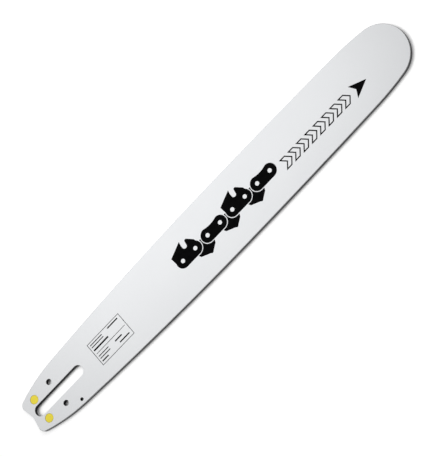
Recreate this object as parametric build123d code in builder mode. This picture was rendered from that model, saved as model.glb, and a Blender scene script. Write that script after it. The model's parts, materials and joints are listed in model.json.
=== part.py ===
from build123d import *
import os

# Guide bar of a chainsaw: a steel plate with a chain groove round its rim and two oil dams in its tail.
# Millimetres. The bar lies flat on Z = 0, centred on the origin, and +X runs from its tail to its nose.

# Plate
length = 520.0
thickness = 4.8
belly_width = 70.0
belly_ahead_of_middle = 15.5
neck_width = 56.6
neck_from_tail = 52.3
shoulder_width = 66.0
shoulder_from_tip = 63.7
nose_inset = 3.0
rim_chamfer = 0.3

# Tail end
tail_width = 35.0
tail_corner_radius = 6.0
tail_notch_width = 26.0
tail_notch_depth = 2.5
tail_notch_radius = 8.0

# Chain groove, open at both corners of the tail
groove_width = 1.6
groove_depth = 7.0

# Slot for the saw's bar studs
slot_width = 12.0
slot_length = 66.0
slot_from_tail = 7.0

# Holes for the pin of the chain tensioner
tensioner_diameter = 6.0
tensioner_spacing = 28.4
tensioner_from_tail = 37.7

# Oil inlets, one from each face, drilled at the neck down into the groove
oil_inlet_diameter = 3.6
oil_inlet_floor_gap = 0.2

# Oil dams, round plugs that stand a little way up out of the groove's floor
dam_diameter = 9.0
dam_along_edge = 12.9
dam_rise = 2.0
dam_clearance = 0.05
dam_recess = 0.1
dam_chamfer = 0.3

# Stations along the bar
tail_x = -length / 2
tip_x = length / 2
neck_x = tail_x + neck_from_tail
slot_x = tail_x + slot_from_tail + slot_length / 2
tensioner_x = tail_x + tensioner_from_tail
towards_nose = Vector(1, 0)
towards_tail = Vector(-1, 0)
across = Vector(0, 1)
quarter_turn = 90

os.makedirs("parts", exist_ok=True)

# Blade: both long edges and the nose, with the edges running on past the tail
with BuildSketch() as blade:
    with BuildLine() as blade_edge:
        belly_point = (belly_ahead_of_middle, belly_width / 2)
        rear_arc = TangentArc(belly_point, (neck_x, neck_width / 2), tangent=towards_tail)
        flare_arc = TangentArc(rear_arc @ 1, (tail_x, tail_width / 2), tangent=rear_arc % 1)
        run_out = Line(flare_arc @ 1, flare_arc @ 1 + (flare_arc % 1) * (2 * groove_depth))
        front_arc = TangentArc(belly_point, (tip_x - shoulder_from_tip, shoulder_width / 2), tangent=towards_nose)

        # The shoulder arc leaves the belly and meets the nose circle, tangent to both
        nose_radius = shoulder_width / 2 - nose_inset
        nose_centre = Vector(tip_x - nose_radius, 0)
        inward = (front_arc % 1).rotate(Axis.Z, -quarter_turn)
        from_nose = front_arc @ 1 - nose_centre
        shoulder_radius = (nose_radius**2 - from_nose.dot(from_nose)) / (2 * (from_nose.dot(inward) + nose_radius))
        shoulder_centre = front_arc @ 1 + inward * shoulder_radius
        nose_start = nose_centre + (nose_centre - shoulder_centre).normalized() * nose_radius
        shoulder_arc = TangentArc(front_arc @ 1, nose_start, tangent=front_arc % 1)
        nose_arc = TangentArc((tip_x, 0), nose_start, tangent=across)

        mirror(about=Plane.XZ)
        Line(run_out @ 1, ((run_out @ 1).X, -(run_out @ 1).Y))
    make_face()

# Dams: centres stand square to the flared edge, with the plugs reaching past the groove's floor
dam_radius = dam_diameter / 2
dam_edge_length = flare_arc.length - dam_along_edge
dam_edge_point = flare_arc.position_at(dam_edge_length, position_mode=PositionMode.LENGTH)
dam_edge_tangent = flare_arc.tangent_at(dam_edge_length, position_mode=PositionMode.LENGTH)
dam_inward = dam_edge_tangent.rotate(Axis.Z, quarter_turn)
dam_centre = dam_edge_point + dam_inward * (groove_depth + dam_radius - dam_rise)
dam_places = {"oil_dam_upper": (dam_centre.X, dam_centre.Y), "oil_dam_lower": (dam_centre.X, -dam_centre.Y)}

# Groove floor: the land left between the two runs of the groove
with BuildSketch() as groove_floor:
    add(blade.sketch)
    offset(amount=-groove_depth)

# Guide bar
with BuildPart() as guide_bar:
    with BuildSketch() as plate:
        add(blade.sketch)
        with Locations((tail_x, 0)):
            Rectangle(length, length, align=(Align.MAX, Align.CENTER), mode=Mode.SUBTRACT)
        fillet(plate.vertices().group_by(Axis.X)[0], tail_corner_radius)
    extrude(amount=thickness)
    rim = guide_bar.faces().filter_by(Axis.Z).edges()
    chamfer(rim, rim_chamfer)

    with BuildSketch() as tail_notch:
        with BuildLine():
            notch_root = (tail_x + tail_notch_depth, 0)
            notch_lip = (tail_x, tail_notch_width / 2)
            Polyline(notch_root, notch_lip, (tail_x - tail_notch_depth, 0))
            mirror(about=Plane.XZ)
        make_face()
        fillet(tail_notch.vertices().sort_by(Axis.X)[-1], tail_notch_radius)
    extrude(amount=thickness, mode=Mode.SUBTRACT)

    with BuildSketch() as stud_slot:
        with Locations((slot_x, 0)):
            SlotOverall(slot_length, slot_width)
    extrude(amount=thickness, mode=Mode.SUBTRACT)

    with Locations((tensioner_x, 0, thickness)):
        with GridLocations(0, tensioner_spacing, 1, 2):
            Hole(tensioner_diameter / 2)

    with Locations(*((x, y, thickness) for x, y in dam_places.values())):
        Hole(dam_radius + dam_clearance)

    with BuildSketch(Plane.XY.offset((thickness - groove_width) / 2)) as chain_groove:
        add(blade.sketch)
        offset(amount=groove_width)
        add(groove_floor.sketch, mode=Mode.SUBTRACT)
    extrude(amount=groove_width, mode=Mode.SUBTRACT)

    inlet_y = neck_width / 2 - groove_depth + oil_inlet_floor_gap + oil_inlet_diameter / 2
    with Locations(
        Location((neck_x, -inlet_y, thickness)),
        Location((neck_x, inlet_y, 0), (2 * quarter_turn, 0, 0)),
    ):
        Hole(oil_inlet_diameter / 2, depth=thickness / 2)

guide_bar.part.label = "guide_bar"
export_step(guide_bar.part, "parts/guide_bar.step")

# Oil dams
for dam_name, dam_place in dam_places.items():
    with BuildPart() as oil_dam:
        with BuildSketch(Plane.XY.offset(dam_recess)):
            with Locations(dam_place):
                Circle(dam_radius)
        extrude(amount=thickness - 2 * dam_recess)
        chamfer(oil_dam.edges().filter_by(GeomType.CIRCLE), dam_chamfer)
    oil_dam.part.label = dam_name
    export_step(oil_dam.part, f"parts/{dam_name}.step")
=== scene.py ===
import json
import math

import bpy
from mathutils import Matrix, Vector


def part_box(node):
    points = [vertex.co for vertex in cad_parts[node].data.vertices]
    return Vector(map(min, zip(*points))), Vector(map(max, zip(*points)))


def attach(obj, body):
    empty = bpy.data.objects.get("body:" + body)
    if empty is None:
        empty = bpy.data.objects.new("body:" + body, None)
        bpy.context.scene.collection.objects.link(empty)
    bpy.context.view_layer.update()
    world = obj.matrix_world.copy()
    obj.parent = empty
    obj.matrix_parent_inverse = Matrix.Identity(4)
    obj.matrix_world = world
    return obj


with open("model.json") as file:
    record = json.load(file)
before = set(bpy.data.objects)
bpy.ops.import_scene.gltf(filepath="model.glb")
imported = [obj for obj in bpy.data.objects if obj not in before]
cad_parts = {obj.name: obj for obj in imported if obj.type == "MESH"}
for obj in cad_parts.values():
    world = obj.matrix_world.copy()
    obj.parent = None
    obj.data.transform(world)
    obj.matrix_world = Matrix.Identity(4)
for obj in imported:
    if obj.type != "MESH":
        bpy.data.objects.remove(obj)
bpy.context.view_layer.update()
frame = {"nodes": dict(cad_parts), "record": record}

# A chainsaw guide bar that lies on a white floor
# Values are in metres, apart from the shapes of the print, which are in millimetres
# Colours are linear, noise is in cycles per metre, and a pair for roughness runs from least to most
MM = 0.001
WHITE = (1.0, 1.0, 1.0, 1.0)

# The bar, from the frame
BAR_LOW, BAR_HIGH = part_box("guide_bar")
FACE_Z = BAR_HIGH.z
MIDDLE_Z = (BAR_LOW.z + BAR_HIGH.z) / 2

# The field that holds the stud slot and the tensioner holes, from the record
# The slot's round ends reach past its opening's box by less than the box's half width
MOUNTS = {mount["name"]: mount for mount in frame["record"]["mounts"]}
OPENINGS = {opening["name"]: opening for opening in frame["record"]["physics"]["openings"]}
HOLE = MOUNTS["tensioner_hole_upper"]
SLOT_LOW, SLOT_HIGH = [Vector(corner) for corner in OPENINGS["stud_slot"]["box_m"]]
FIELD_MARGIN = 0.2 * MM
FIELD_MIDDLE_X = (SLOT_LOW.x + SLOT_HIGH.x) / 2
FIELD_HALF_X = (SLOT_HIGH.x - SLOT_LOW.x) / 2 + SLOT_HIGH.y + FIELD_MARGIN
FIELD_HALF_Y = HOLE["pos_m"][1] + HOLE["dims"]["r_mm"] * MM + FIELD_MARGIN

# The oil inlets at the neck, one near each edge, and half the side of a square that holds one
INLET_X = BAR_LOW.x + 52.3 * MM
INLET_Y = 23.3 * MM
INLET_HALF = 2.0 * MM

# Camera, at the photograph's viewing angle
# The picture is taller than it is wide, so the sensor's size spans its height
IMAGE_HEIGHT = 457
PIXELS_PER_MM = 1.0524
VIEW_HEIGHT = IMAGE_HEIGHT / PIXELS_PER_MM * MM
CAMERA_DISTANCE = 2.5
CAMERA_TILT = math.radians(25.0)
CAMERA_AZIMUTH = math.radians(-63.0)
CAMERA_ROLL = math.radians(-18.93)
CAMERA_AIM = Vector((4.39 * MM, -3.29 * MM, FACE_Z))
SENSOR_SIZE = 36.0

# Lights: a long soft box over the bar, a broad light from the tail's side, and a faint light from all round
KEY_LENGTH = 0.542
KEY_DEPTH = 0.189
KEY_PLACE = Vector((0.016, 0.075, 0.2))
KEY_TARGET = Vector((KEY_PLACE.x, 0.0, FACE_Z))
KEY_WATTS = 0.455
SIDE_PLACE = Vector((-0.45, 0.35, 1.0))
SIDE_TARGET = Vector((0.0, 0.0, FACE_Z))
SIDE_ANGLE = math.radians(25.0)
SIDE_STRENGTH = 1.31
WORLD_STRENGTH = 0.05

# Noise, whose values stay near one half, so that colours blend between two stops on either side of it
CLOUD_DETAIL = 2.0
FINE_DETAIL = 3.0
RAMP_STOPS = (0.35, 0.65)

# Floor, a hair below the bar
FLOOR_SIZE = 12.0
FLOOR_GAP = 0.02 * MM
FLOOR_LIGHT = (0.95, 0.95, 0.95, 1.0)
FLOOR_DARK = (0.9405, 0.9405, 0.9405, 1.0)
FLOOR_CLOUDS = 3.0
FLOOR_ROUGHNESS = 0.9
FLOOR_SHINE = 0.0

# The floor's glow, which grows away from the bar as the lamps fade, and more slowly along it than across it
GLOW_NEAR = 0.31
GLOW_FAR = 1.0
GLOW_RADIUS = 0.5
GLOW_SQUEEZE = (0.5, 1.0, 1.0)

# Painted shade on that glow, from how open the floor is within a short reach: each pair gives the openness
# where the glow starts and where it is whole
SHADE_REACH = 18.0 * MM
SHADE_OUTSIDE = (0.25, 0.48)
SHADE_IN_FIELD = (0.38, 0.66)

# Paint on the bar's two faces
PAINT_LIGHT = (0.80, 0.812, 0.828, 1.0)
PAINT_DARK = (0.775, 0.787, 0.803, 1.0)
PAINT_CLOUDS = 9.0
PAINT_GRAIN = 420.0
PAINT_PEEL = 750.0
PAINT_ROUGHNESS = (0.36, 0.46)

# Painted faces are nearly level, and lie near the outside of the bar's thickness
LEVEL_COSINE = 0.9
OUTER_HEIGHT = 0.8 * (FACE_Z - MIDDLE_Z)

# Bare steel: ground along the rim and the groove, and darkened to near black on the walls of the slot, holes
# and inlets as painted shade
STEEL_LIGHT = (0.28, 0.28, 0.284, 1.0)
STEEL_DARK = (0.15, 0.15, 0.152, 1.0)
CUT_SHADE_LIGHT = (0.035, 0.036, 0.036, 1.0)
CUT_SHADE_DARK = (0.012, 0.013, 0.013, 1.0)
STEEL_ROUGHNESS = (0.34, 0.52)
GRINDING_SQUEEZE = (60.0, 60.0, 9000.0)
GRINDING_SCALE = 1.0
GRINDING_DETAIL = 4.0
BAR_RELIEF = 0.01 * MM
BAR_RELIEF_STRENGTH = 0.35

# Yellow plastic of the oil dams
DAM_LIGHT = (0.99, 0.825, 0.006, 1.0)
DAM_DARK = (0.95, 0.765, 0.004, 1.0)
DAM_CLOUDS = 500.0
DAM_GRAIN = 2600.0
DAM_ROUGHNESS = (0.42, 0.62)
DAM_RELIEF = 0.02 * MM
DAM_RELIEF_STRENGTH = 0.4

# Black ink, a thin film that lies a hair above the face
INK_LIGHT = (0.002, 0.002, 0.0022, 1.0)
INK_DARK = (0.0008, 0.0008, 0.001, 1.0)
INK_SHINE = 0.008
INK_CLOUDS = 220.0
INK_GRAIN = 1400.0
INK_ROUGHNESS = (0.38, 0.55)
INK_RELIEF = 0.004 * MM
INK_RELIEF_STRENGTH = 0.3
INK_LIFT = 0.02 * MM
INK_THICKNESS = 0.04 * MM

# Chain picture: a run of saw chain in side view, with its rivets on the bar's middle line
ARC_STEPS = 20
CHAIN_START = -42.5
CHAIN_PITCH = 17.3
CHAIN_LINKS = 7
REAR_RIVET = (0.0, 0.0)
FRONT_RIVET = (CHAIN_PITCH, 0.0)
RIVET_RADIUS = 2.2
STRAP_RADIUS = 7.4
STRAP_DIP = 1.3

# A cutter's tooth, gullet and depth gauge, measured from its rear rivet, and its strap's round ends
TOOTH = [(-7.6, 10.0), (9.2, 16.8), (8.0, 12.2)]
GULLET_CENTRE = (10.6, 9.8)
GULLET_RADIUS = 2.6
GULLET_ANGLES = (160.0, 330.0)
GAUGE_REAR = (13.6, 12.2)
GAUGE_CENTRE = (15.4, 12.4)
GAUGE_RADIUS = 1.8
GAUGE_ANGLES = (160.0, 30.0)
GAUGE_FRONT = (21.8, 7.8)
FOOT_ANGLES = (45.0, -90.0)
HEEL_ANGLES = (270.0, 160.0)

# A drive link's waist, and the tang below it, whose tip is a little ahead of the link's middle
LINK_GAP = 0.8
WAIST_TOP = 2.8
TANG_REACH = 11.2
TANG_BEVEL_X = 1.4
TANG_BEVEL_Y = 2.8
TANG_TIP_X = 1.4
TANG_TIP_Y = -14.6
TANG_TIP_RADIUS = 1.8
TANG_TIP_ANGLES = (205.0, 325.0)

# Marks for the way that the chain runs: hollow chevrons and a solid arrowhead
RUN_Y = -6.6
CHEVRON_START = 91.0
CHEVRON_PITCH = 11.4
CHEVRON_COUNT = 8
CHEVRON_LENGTH = 7.5
CHEVRON_POINT = 5.5
CHEVRON_HALF = 6.3
CHEVRON_LINE = 1.2
HEAD_START = 187.0
HEAD_TIP = 205.0
HEAD_HALF = 7.8
HEAD_NOTCH = 4.5

# Blank data panel: a fine frame, with a rule and plain bars in it
PANEL_LEFT = -169.5
PANEL_RIGHT = -125.0
PANEL_LOW = -15.2
PANEL_HIGH = 11.6
PANEL_LINE = 0.55

# Each bar's middle height and thickness, then its start and stop as shares of the panel's width
PANEL_BARS = (
    (8.6, 0.9, 0.05, 0.42),
    (5.9, 0.9, 0.05, 0.42),
    (2.2, 1.7, 0.05, 0.5),
    (8.6, 1.3, 0.6, 0.92),
    (-2.0, 0.5, 0.05, 0.95),
    (-5.4, 0.9, 0.05, 0.36),
    (-8.2, 0.9, 0.05, 0.36),
    (-11.6, 1.3, 0.05, 0.24),
    (-6.6, 1.3, 0.55, 0.76),
    (-11.0, 1.3, 0.62, 0.92),
)


class Nodes:
    """The nodes of a material or the world. A value is a number, or another node's output."""

    def __init__(self, tree):
        self.tree = tree

    def feed(self, socket, value):
        """Links an output to a socket, or sets the socket to a number."""
        if isinstance(value, bpy.types.NodeSocket):
            self.tree.links.new(value, socket)
        else:
            socket.default_value = value

    def add(self, kind, inputs=None, **settings):
        """A new node, with its inputs by name or number, and its settings by name."""
        node = self.tree.nodes.new(kind)
        for name, setting in settings.items():
            setattr(node, name, setting)
        for name, value in (inputs or {}).items():
            self.feed(node.inputs[name], value)
        return node

    def place(self):
        """Each point's place in the object."""
        return self.add("ShaderNodeTexCoord").outputs["Object"]

    def maths(self, operation, *values):
        """The result of an operation on one to three values."""
        return self.add("ShaderNodeMath", dict(enumerate(values)), operation=operation).outputs["Value"]

    def split(self, vector):
        """The X, Y and Z of a vector."""
        return self.add("ShaderNodeSeparateXYZ", {"Vector": vector}).outputs

    def squeeze(self, vector, factors):
        """A vector times a factor for each axis."""
        node = self.add("ShaderNodeVectorMath", {0: vector, 1: factors}, operation="MULTIPLY")
        return node.outputs["Vector"]

    def length(self, vector):
        """The length of a vector."""
        node = self.add("ShaderNodeVectorMath", {0: vector}, operation="LENGTH")
        return node.outputs["Value"]

    def noise(self, place, scale, detail=CLOUD_DETAIL):
        """A noise texture's value."""
        inputs = {"Vector": place, "Scale": scale, "Detail": detail}
        return self.add("ShaderNodeTexNoise", inputs).outputs["Fac"]

    def ramp(self, value, low, high):
        """Two colours blended along a noise's value."""
        node = self.add("ShaderNodeValToRGB", {"Fac": value})
        for element, position, colour in zip(node.color_ramp.elements, RAMP_STOPS, (low, high)):
            element.position = position
            element.color = colour
        return node.outputs["Color"]

    def spread(self, value, target, source=(0.0, 1.0), curve="LINEAR"):
        """A value mapped from the source range on to the target range, and held at its ends."""
        inputs = {
            "Value": value,
            "From Min": source[0],
            "From Max": source[1],
            "To Min": target[0],
            "To Max": target[1],
        }
        return self.add("ShaderNodeMapRange", inputs, interpolation_type=curve).outputs["Result"]

    def mix(self, data_type, factor, first, second):
        """Two values or colours mixed by a factor."""
        node = self.add("ShaderNodeMix", data_type=data_type)
        sockets = [socket for socket in node.inputs if socket.enabled]
        for socket, value in zip(sockets, (factor, first, second)):
            self.feed(socket, value)
        return next(socket for socket in node.outputs if socket.enabled)

    def bump(self, height, depth, strength):
        """A normal that follows a height, with its depth in metres."""
        inputs = {"Height": height, "Distance": depth, "Strength": strength}
        return self.add("ShaderNodeBump", inputs).outputs["Normal"]


def new_material(name):
    """A material with its nodes and the inputs of its shader."""
    material = bpy.data.materials.new(name)
    material.use_nodes = True
    tree = material.node_tree
    return material, Nodes(tree), tree.nodes["Principled BSDF"].inputs


def painted_mask(nodes, place):
    """One on the bar's two flat faces, and zero on its rim, groove, slot and holes."""
    normal = nodes.add("ShaderNodeNewGeometry").outputs["True Normal"]
    facing = nodes.maths("ABSOLUTE", nodes.split(normal)["Z"])
    level = nodes.maths("GREATER_THAN", facing, LEVEL_COSINE)
    height = nodes.maths("SUBTRACT", nodes.split(place)["Z"], MIDDLE_Z)
    outer = nodes.maths("GREATER_THAN", nodes.maths("ABSOLUTE", height), OUTER_HEIGHT)
    return nodes.maths("MULTIPLY", level, outer)


def field_mask(nodes, place):
    """One in the field of the slot and the tensioner holes, and zero beyond it."""
    parts = nodes.split(place)
    within_x = nodes.maths("COMPARE", parts["X"], FIELD_MIDDLE_X, FIELD_HALF_X)
    within_y = nodes.maths("COMPARE", parts["Y"], 0.0, FIELD_HALF_Y)
    return nodes.maths("MULTIPLY", within_x, within_y)


def cut_shade_mask(nodes, place):
    """One on the walls of the slot, the tensioner holes and the oil inlets, where the steel gets painted
    shade, and zero on the rim.
    """
    parts = nodes.split(place)
    within_x = nodes.maths("COMPARE", parts["X"], INLET_X, INLET_HALF)
    within_y = nodes.maths("COMPARE", nodes.maths("ABSOLUTE", parts["Y"]), INLET_Y, INLET_HALF)
    inlet = nodes.maths("MULTIPLY", within_x, within_y)
    return nodes.maths("MAXIMUM", field_mask(nodes, place), inlet)


def seen_directly(nodes):
    """One for rays from the camera, and for mirror and glass rays, which show the same background."""
    rays = nodes.add("ShaderNodeLightPath").outputs
    mirrored = nodes.maths("MAXIMUM", rays["Is Glossy Ray"], rays["Is Transmission Ray"])
    return nodes.maths("MAXIMUM", rays["Is Camera Ray"], mirrored)


def painted_shade_openness(nodes, place):
    """One on the open floor, and zero close to a wall on the side light's side, for the painted shade on the
    glow. The field has deeper painted shade.
    """
    direction = nodes.add("ShaderNodeCombineXYZ", dict(enumerate(SIDE_PLACE.normalized())))
    inputs = {"Distance": SHADE_REACH, "Normal": direction.outputs["Vector"]}
    nearby = nodes.add("ShaderNodeAmbientOcclusion", inputs).outputs["AO"]
    outside = nodes.spread(nearby, (0.0, 1.0), SHADE_OUTSIDE)
    in_field = nodes.spread(nearby, (0.0, 1.0), SHADE_IN_FIELD)
    return nodes.mix("FLOAT", field_mask(nodes, place), outside, in_field)


def bar_material():
    """Satin light grey paint on the faces, and ground steel on the rim and the cut walls, with painted shade
    that darkens the cut walls.
    """
    material, nodes, shader = new_material("bar_paint_steel_and_shade")
    place = nodes.place()
    painted = painted_mask(nodes, place)

    paint = nodes.ramp(nodes.noise(place, PAINT_CLOUDS), PAINT_DARK, PAINT_LIGHT)
    paint_roughness = nodes.spread(nodes.noise(place, PAINT_GRAIN), PAINT_ROUGHNESS)
    peel = nodes.noise(place, PAINT_PEEL, FINE_DETAIL)

    grinding = nodes.noise(nodes.squeeze(place, GRINDING_SQUEEZE), GRINDING_SCALE, GRINDING_DETAIL)
    rim = nodes.ramp(grinding, STEEL_DARK, STEEL_LIGHT)
    # Near-black steel on the walls of the slot, holes and inlets: painted shade
    cut_shade = nodes.ramp(grinding, CUT_SHADE_DARK, CUT_SHADE_LIGHT)
    steel_and_shade = nodes.mix("RGBA", cut_shade_mask(nodes, place), rim, cut_shade)
    steel_roughness = nodes.spread(grinding, STEEL_ROUGHNESS)

    height = nodes.mix("FLOAT", painted, grinding, peel)
    nodes.feed(shader["Base Color"], nodes.mix("RGBA", painted, steel_and_shade, paint))
    nodes.feed(shader["Metallic"], nodes.maths("SUBTRACT", 1.0, painted))
    nodes.feed(shader["Roughness"], nodes.mix("FLOAT", painted, steel_roughness, paint_roughness))
    nodes.feed(shader["Normal"], nodes.bump(height, BAR_RELIEF, BAR_RELIEF_STRENGTH))
    return material


def dam_material():
    """Matt yellow moulded plastic with a fine grain."""
    material, nodes, shader = new_material("dam_yellow")
    place = nodes.place()
    grain = nodes.noise(place, DAM_GRAIN, FINE_DETAIL)
    nodes.feed(shader["Base Color"], nodes.ramp(nodes.noise(place, DAM_CLOUDS), DAM_DARK, DAM_LIGHT))
    nodes.feed(shader["Roughness"], nodes.spread(grain, DAM_ROUGHNESS))
    nodes.feed(shader["Normal"], nodes.bump(grain, DAM_RELIEF, DAM_RELIEF_STRENGTH))
    return material


def ink_material():
    """Black screen-printed ink with a slightly uneven film."""
    material, nodes, shader = new_material("print_ink")
    place = nodes.place()
    grain = nodes.noise(place, INK_GRAIN, FINE_DETAIL)
    nodes.feed(shader["Base Color"], nodes.ramp(nodes.noise(place, INK_CLOUDS), INK_DARK, INK_LIGHT))
    nodes.feed(shader["Specular IOR Level"], INK_SHINE)
    nodes.feed(shader["Roughness"], nodes.spread(grain, INK_ROUGHNESS))
    nodes.feed(shader["Normal"], nodes.bump(grain, INK_RELIEF, INK_RELIEF_STRENGTH))
    return material


def floor_material():
    """White floor that takes the bar's shadow, with a glow that direct rays see where the lamps fade, dimmed
    beside walls as painted shade.
    """
    material, nodes, shader = new_material("studio_floor")
    place = nodes.place()
    nodes.feed(shader["Base Color"], nodes.ramp(nodes.noise(place, FLOOR_CLOUDS), FLOOR_DARK, FLOOR_LIGHT))
    nodes.feed(shader["Roughness"], FLOOR_ROUGHNESS)
    nodes.feed(shader["Specular IOR Level"], FLOOR_SHINE)

    distance = nodes.length(nodes.squeeze(place, GLOW_SQUEEZE))
    glow = nodes.spread(distance, (GLOW_NEAR, GLOW_FAR), (0.0, GLOW_RADIUS), "SMOOTHSTEP")
    seen_glow = nodes.maths("MULTIPLY", glow, seen_directly(nodes))
    nodes.feed(shader["Emission Color"], WHITE)
    # The glow dims beside the bar's walls, and more in the slot and holes: painted shade on the floor
    nodes.feed(shader["Emission Strength"], nodes.maths("MULTIPLY", seen_glow, painted_shade_openness(nodes, place)))
    return material


def dress_node(name, material):
    """Gives a CAD node its finish."""
    for slot in frame["nodes"][name].material_slots:
        slot.material = material


def arc(centre, radius, angles):
    """Points along an arc between two angles in degrees."""
    start, stop = angles
    turns = [math.radians(start + (stop - start) * i / ARC_STEPS) for i in range(ARC_STEPS + 1)]
    return [(centre[0] + radius * math.cos(turn), centre[1] + radius * math.sin(turn)) for turn in turns]


def disc(centre, radius):
    """The outline of a round spot."""
    return arc(centre, radius, (0.0, 360.0))[:-1]


def rectangle(left, low, right, high):
    """The outline of a rectangle."""
    return [(left, low), (right, low), (right, high), (left, high)]


def shifted(outline, x):
    """An outline moved along the bar."""
    return [(x + point_x, point_y) for point_x, point_y in outline]


def printed(name, outlines, material):
    """A thin film of ink on the upper face. An outline inside another is a hole in it."""
    curve = bpy.data.curves.new(name, "CURVE")
    curve.dimensions = "2D"
    curve.fill_mode = "BOTH"
    curve.extrude = INK_THICKNESS / 2
    for outline in outlines:
        spline = curve.splines.new("POLY")
        spline.points.add(len(outline) - 1)
        for point, (x, y) in zip(spline.points, outline):
            point.co = (x * MM, y * MM, 0.0, 1.0)
        spline.use_cyclic_u = True
    shape = bpy.data.objects.new(name + "_outline", curve)
    bpy.context.scene.collection.objects.link(shape)
    bpy.context.view_layer.update()
    mesh = bpy.data.meshes.new_from_object(shape.evaluated_get(bpy.context.evaluated_depsgraph_get()))
    bpy.data.objects.remove(shape)
    mesh.name = name
    mesh.materials.clear()
    mesh.materials.append(material)
    piece = bpy.data.objects.new(name, mesh)
    piece.location.z = FACE_Z + INK_LIFT + INK_THICKNESS / 2
    bpy.context.scene.collection.objects.link(piece)
    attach(piece, "root")


def rivet_holes():
    """The holes of a link's two rivets."""
    return [disc(REAR_RIVET, RIVET_RADIUS), disc(FRONT_RIVET, RIVET_RADIUS)]


def tie_strap():
    """A strap with round ends, a flat foot, a dip in its back and two rivet holes."""
    rear = arc(REAR_RIVET, STRAP_RADIUS, (90.0, 270.0))
    front = arc(FRONT_RIVET, STRAP_RADIUS, (-90.0, 90.0))
    steps = [i / ARC_STEPS for i in range(1, ARC_STEPS)]
    back = [(CHAIN_PITCH * (1.0 - t), STRAP_RADIUS - 4.0 * STRAP_DIP * t * (1.0 - t)) for t in steps]
    return [rear + front + back] + rivet_holes()


def cutter():
    """A cutter link: a strap with a tooth at its back and a depth gauge at its front."""
    gullet = arc(GULLET_CENTRE, GULLET_RADIUS, GULLET_ANGLES)
    gauge = [GAUGE_REAR] + arc(GAUGE_CENTRE, GAUGE_RADIUS, GAUGE_ANGLES) + [GAUGE_FRONT]
    foot = arc(FRONT_RIVET, STRAP_RADIUS, FOOT_ANGLES)
    heel = arc(REAR_RIVET, STRAP_RADIUS, HEEL_ANGLES)
    return [TOOTH + gullet + gauge + foot + heel] + rivet_holes()


def drive_link():
    """A drive link: a waist between the round ends of two straps, and a pointed tang below them."""
    middle = CHAIN_PITCH / 2
    clear = STRAP_RADIUS + LINK_GAP
    lift = math.degrees(math.asin(WAIST_TOP / clear))
    bevel_reach = TANG_REACH - TANG_BEVEL_X
    bevel_low = -clear - TANG_BEVEL_Y
    left = arc(REAR_RIVET, clear, (lift, -90.0))
    rear = [(middle - TANG_REACH, -clear), (middle - bevel_reach, bevel_low)]
    tip = arc((middle + TANG_TIP_X, TANG_TIP_Y), TANG_TIP_RADIUS, TANG_TIP_ANGLES)
    front = [(middle + bevel_reach, bevel_low), (middle + TANG_REACH, -clear)]
    right = arc(FRONT_RIVET, clear, (270.0, 180.0 - lift))
    return [left + rear + tip + front + right]


def chain_print(material):
    """The run of chain: cutter, drive link, tie strap, drive link, over and over."""
    links = (cutter(), drive_link(), tie_strap(), drive_link())
    outlines = []
    for i in range(CHAIN_LINKS):
        x = CHAIN_START + i * CHAIN_PITCH
        outlines += [shifted(outline, x) for outline in links[i % len(links)]]
    printed("chain_print", outlines, material)


def chevron(x, line):
    """The outline of a chevron that points to the nose, drawn in by the width of a line."""
    half = CHEVRON_HALF - line
    inset = line * math.hypot(CHEVRON_HALF, CHEVRON_POINT) / CHEVRON_HALF
    lip = x + CHEVRON_POINT * line / CHEVRON_HALF
    rear = lip + inset
    front = lip + CHEVRON_LENGTH - inset
    rear_point = x + CHEVRON_POINT + inset
    front_point = x + CHEVRON_POINT + CHEVRON_LENGTH - inset
    lower = [(rear, RUN_Y - half), (front, RUN_Y - half), (front_point, RUN_Y)]
    upper = [(front, RUN_Y + half), (rear, RUN_Y + half), (rear_point, RUN_Y)]
    return lower + upper


def arrowhead():
    """The outline of a solid arrowhead that points to the nose."""
    lower = [(HEAD_START, RUN_Y - HEAD_HALF), (HEAD_TIP, RUN_Y)]
    upper = [(HEAD_START, RUN_Y + HEAD_HALF), (HEAD_START + HEAD_NOTCH, RUN_Y)]
    return lower + upper


def run_print(material):
    """A row of hollow chevrons with an arrowhead ahead of them."""
    outlines = [arrowhead()]
    for i in range(CHEVRON_COUNT):
        x = CHEVRON_START + i * CHEVRON_PITCH
        outlines += [chevron(x, 0.0), chevron(x, CHEVRON_LINE)]
    printed("run_print", outlines, material)


def panel_frame(inset):
    """The outline of the panel, drawn in by an inset."""
    return rectangle(PANEL_LEFT + inset, PANEL_LOW + inset, PANEL_RIGHT - inset, PANEL_HIGH - inset)


def panel_print(material):
    """A thin frame, with a rule across it and a few plain bars."""
    outlines = [panel_frame(0.0), panel_frame(PANEL_LINE)]
    width = PANEL_RIGHT - PANEL_LEFT
    for y, thickness, start, stop in PANEL_BARS:
        left = PANEL_LEFT + start * width
        right = PANEL_LEFT + stop * width
        outlines.append(rectangle(left, y - thickness / 2, right, y + thickness / 2))
    printed("panel_print", outlines, material)


def add_floor():
    """The pale floor that the bar lies on."""
    half = FLOOR_SIZE / 2
    corners = [(x, y, BAR_LOW.z - FLOOR_GAP) for x, y in rectangle(-half, -half, half, half)]
    mesh = bpy.data.meshes.new("floor")
    mesh.from_pydata(corners, [], [(0, 1, 2, 3)])
    mesh.materials.append(floor_material())
    floor = bpy.data.objects.new("floor", mesh)
    bpy.context.scene.collection.objects.link(floor)


def add_world():
    """Faint light from all round, and white behind the floor's edge."""
    world = bpy.data.worlds.new("studio")
    bpy.context.scene.world = world
    world.use_nodes = True
    nodes = Nodes(world.node_tree)
    background = world.node_tree.nodes["Background"].inputs
    nodes.feed(background["Color"], WHITE)
    nodes.feed(background["Strength"], nodes.spread(seen_directly(nodes), (WORLD_STRENGTH, 1.0)))


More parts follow.
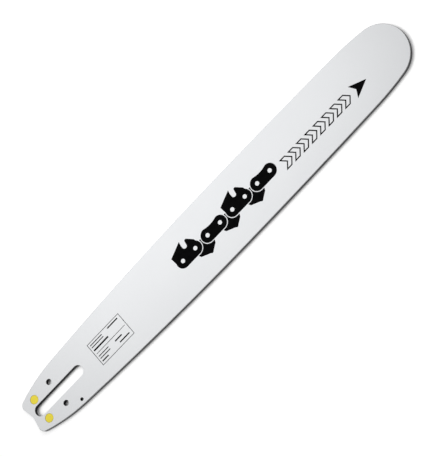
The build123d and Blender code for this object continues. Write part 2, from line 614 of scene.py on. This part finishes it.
def add_lamp(name, kind, place, target):
    """A lamp that points from its place at its target, and that the camera doesn't see."""
    lamp = bpy.data.lights.new(name, kind)
    light = bpy.data.objects.new(name, lamp)
    light.location = place
    light.rotation_euler = (target - place).to_track_quat("-Z", "Y").to_euler()
    light.visible_camera = False
    bpy.context.scene.collection.objects.link(light)
    return lamp


def add_lamps():
    """The long soft box over the bar, and the broad soft light from the tail's side."""
    key = add_lamp("soft_box", "AREA", KEY_PLACE, KEY_TARGET)
    key.shape = "RECTANGLE"
    key.size = KEY_LENGTH
    key.size_y = KEY_DEPTH
    key.energy = KEY_WATTS
    side = add_lamp("side_light", "SUN", SIDE_PLACE, SIDE_TARGET)
    side.angle = SIDE_ANGLE
    side.energy = SIDE_STRENGTH


def add_camera():
    """A long lens that looks down on the bar from its lower right side in the photograph."""
    lean = Vector((math.cos(CAMERA_AZIMUTH), math.sin(CAMERA_AZIMUTH), 0.0))
    upright = Vector((0.0, 0.0, 1.0))
    back = lean * math.sin(CAMERA_TILT) + upright * math.cos(CAMERA_TILT)
    along = lean * math.cos(CAMERA_TILT) - upright * math.sin(CAMERA_TILT)
    across = back.cross(along)
    right = along * math.cos(CAMERA_ROLL) - across * math.sin(CAMERA_ROLL)
    up = along * math.sin(CAMERA_ROLL) + across * math.cos(CAMERA_ROLL)
    turn = Matrix((right, up, back)).transposed().to_4x4()

    lens = bpy.data.cameras.new("camera")
    lens.sensor_width = SENSOR_SIZE
    lens.lens = SENSOR_SIZE * CAMERA_DISTANCE / VIEW_HEIGHT
    camera = bpy.data.objects.new("camera", lens)
    camera.matrix_world = Matrix.Translation(CAMERA_AIM + back * CAMERA_DISTANCE) @ turn
    bpy.context.scene.collection.objects.link(camera)
    bpy.context.scene.camera = camera


yellow = dam_material()
dress_node("guide_bar", bar_material())
dress_node("oil_dam_upper", yellow)
dress_node("oil_dam_lower", yellow)

ink = ink_material()
chain_print(ink)
run_print(ink)
panel_print(ink)

add_floor()
add_world()
add_lamps()
add_camera()
bpy.context.scene.view_settings.view_transform = "Standard"
